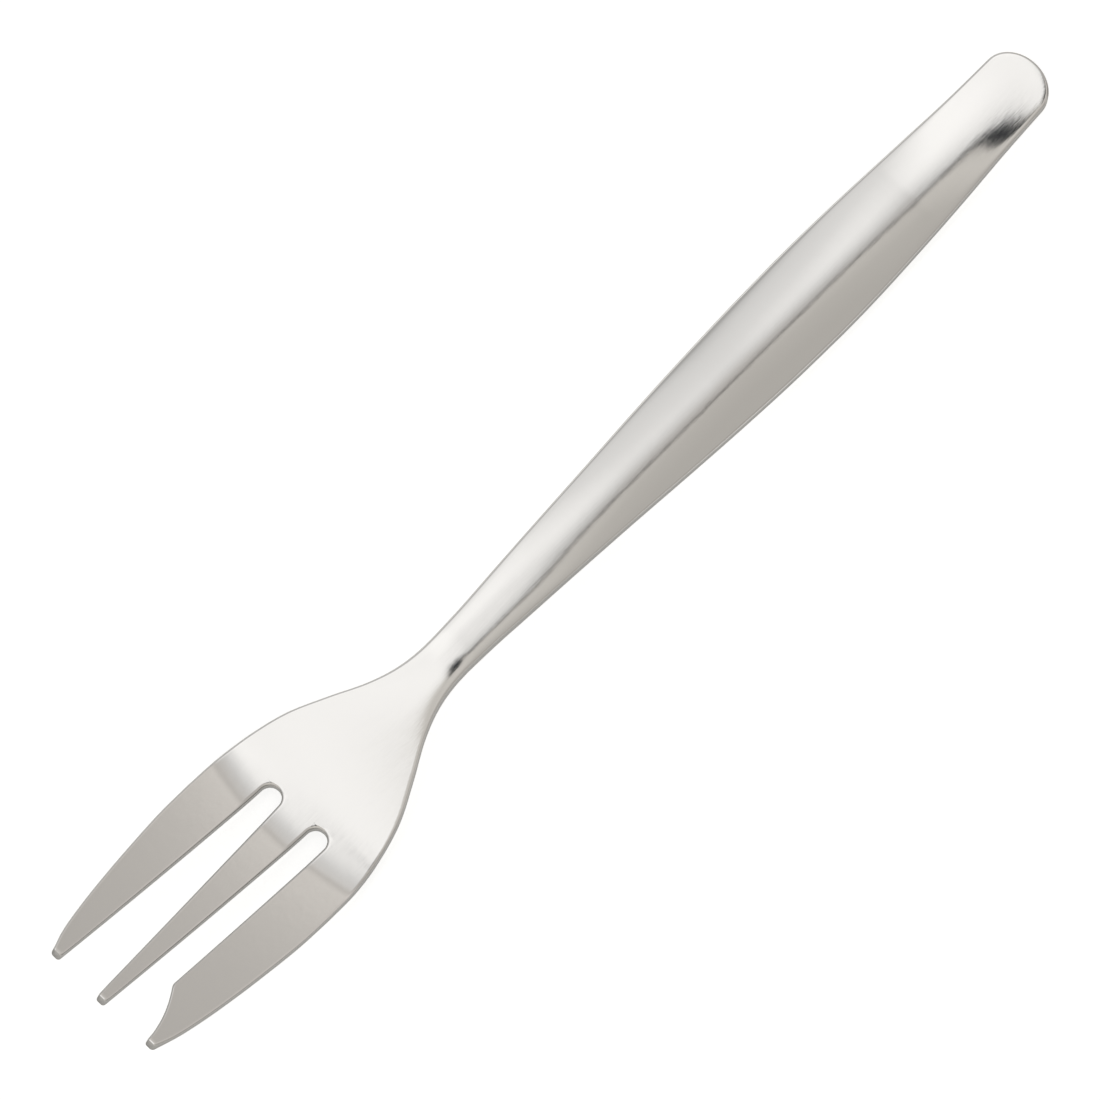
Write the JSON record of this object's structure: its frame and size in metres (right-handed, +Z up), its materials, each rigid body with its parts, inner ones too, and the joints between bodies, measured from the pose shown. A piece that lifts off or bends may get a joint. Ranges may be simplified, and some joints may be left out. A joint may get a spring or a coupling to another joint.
{
  "type": "pastry fork",
  "caption": "Slim stainless pastry fork with narrow tapering tines, the left one wide and notched near its tip for cutting, and a long domed handle.",
  "frame": {"origin": "on the surface that the fork lies on, under the middle of its length and width", "axes": "+X from the handle end to the tine tips, +Y to the wide cutting tine, +Z up, out of the upper side"},
  "size_m": [0.1454, 0.021, 0.0083],
  "materials": {
    "polished_steel": "tumbled and polished, with a fine lengthwise grain"
  },
  "bodies": {
    "root": {"fork": "polished_steel"}
  },
  "joints": []
}
